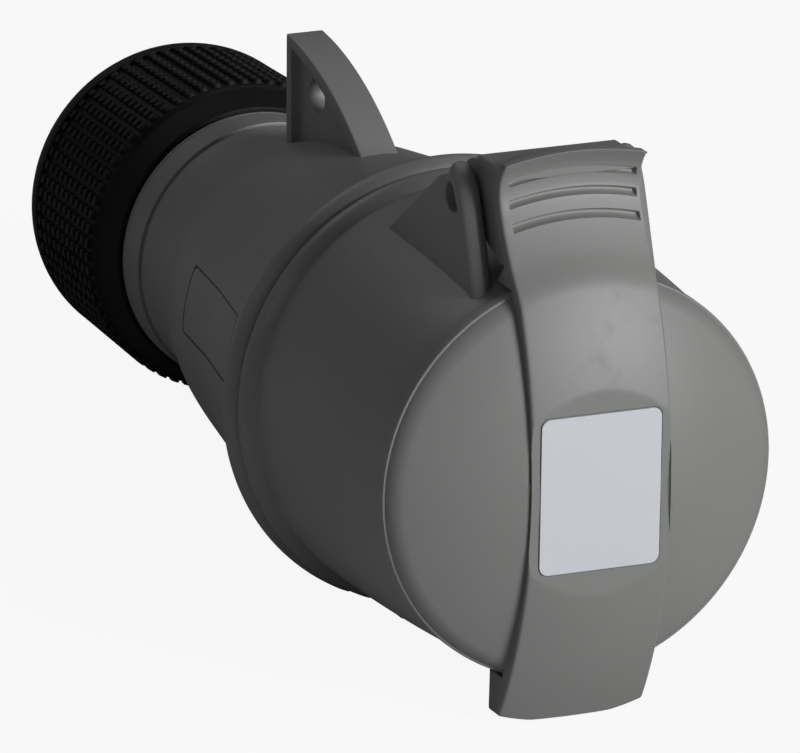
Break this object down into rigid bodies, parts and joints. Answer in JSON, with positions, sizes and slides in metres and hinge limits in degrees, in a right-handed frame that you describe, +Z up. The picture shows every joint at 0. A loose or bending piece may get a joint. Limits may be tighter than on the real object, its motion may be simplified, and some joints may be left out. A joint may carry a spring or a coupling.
{
  "type": "industrial cable coupler",
  "caption": "Industrial cable connector with a sprung hinged lid over a shrouded socket, bell-shaped handle with a hanging lug, and knurled gland nut.",
  "frame": {"origin": "centre of the bounding box's underside, on the surface that the coupler rests on", "axes": "+Y along the coupler towards the cable, nearly level; +Z up, towards the hinge; the lid faces -Y"},
  "size_m": [0.0898, 0.2186, 0.1099],
  "materials": {
    "grey_plastic": "satin moulded polyamide, mid grey",
    "black_plastic": "satin moulded polyamide, black",
    "label_film": "pale silver-grey printed film, bare",
    "black_rubber": "matt",
    "bright_steel": "plated",
    "contact_brass": "turned"
  },
  "bodies": {
    "housing": {"front_housing": "grey_plastic", "rear_housing": "grey_plastic", "housing_seal": "black_rubber", "hinge_pin": "bright_steel", "lid_spring": "bright_steel", "contact_face": "black_plastic", "contact_carrier": "black_plastic", "terminal_block": "black_plastic", "retaining_plate": "black_plastic", "plate_screws": "bright_steel", "earth_contact": "contact_brass", "phase_contact_1": "contact_brass", "phase_contact_2": "contact_brass", "phase_contact_3": "contact_brass", "contact_clips": "bright_steel", "terminal_screws": "bright_steel", "latch_spring": "bright_steel", "clamping_claw": "black_plastic", "cable_grommet": "black_rubber"},
    "lid": {"hinged_lid": "grey_plastic", "lid_gasket": "black_rubber", "label_plate": "label_film"},
    "thrust_ring": {"thrust_ring": "black_plastic"},
    "gland_nut": {"gland_nut": "black_plastic"},
    "latch": {"locking_latch": "grey_plastic"}
  },
  "joints": [
    {"name": "lid_hinge", "type": "hinge", "parent": "housing", "child": "lid", "pos_m": [0, -0.0753, 0.0978], "axis": [-1, 0, 0], "range_deg": [0, 115], "stiffness_Nm_per_rad": 0.1, "springref_deg": -68.75, "deforming": ["lid_spring"]},
    {"name": "ring_slide", "type": "slide", "parent": "housing", "child": "thrust_ring", "axis": [0, 0.9966, -0.0821], "range_m": [0, 0.0082]},
    {"name": "nut_turn", "type": "hinge", "parent": "thrust_ring", "child": "gland_nut", "pos_m": [0, 0.09208, 0.03225], "axis": [0, 0.9966, -0.0821], "range_deg": [0, 720]},
    {"name": "latch_press", "type": "slide", "parent": "housing", "child": "latch", "axis": [0.9816, -0.0157, -0.1902], "range_m": [0, 0.0016], "stiffness_N_per_m": 1500, "springref_m": -0.001, "deforming": ["latch_spring"]}
  ],
  "couplings": [
    {"joint": "ring_slide", "follows": "nut_turn", "m_per_rad": 0.00063662}
  ]
}
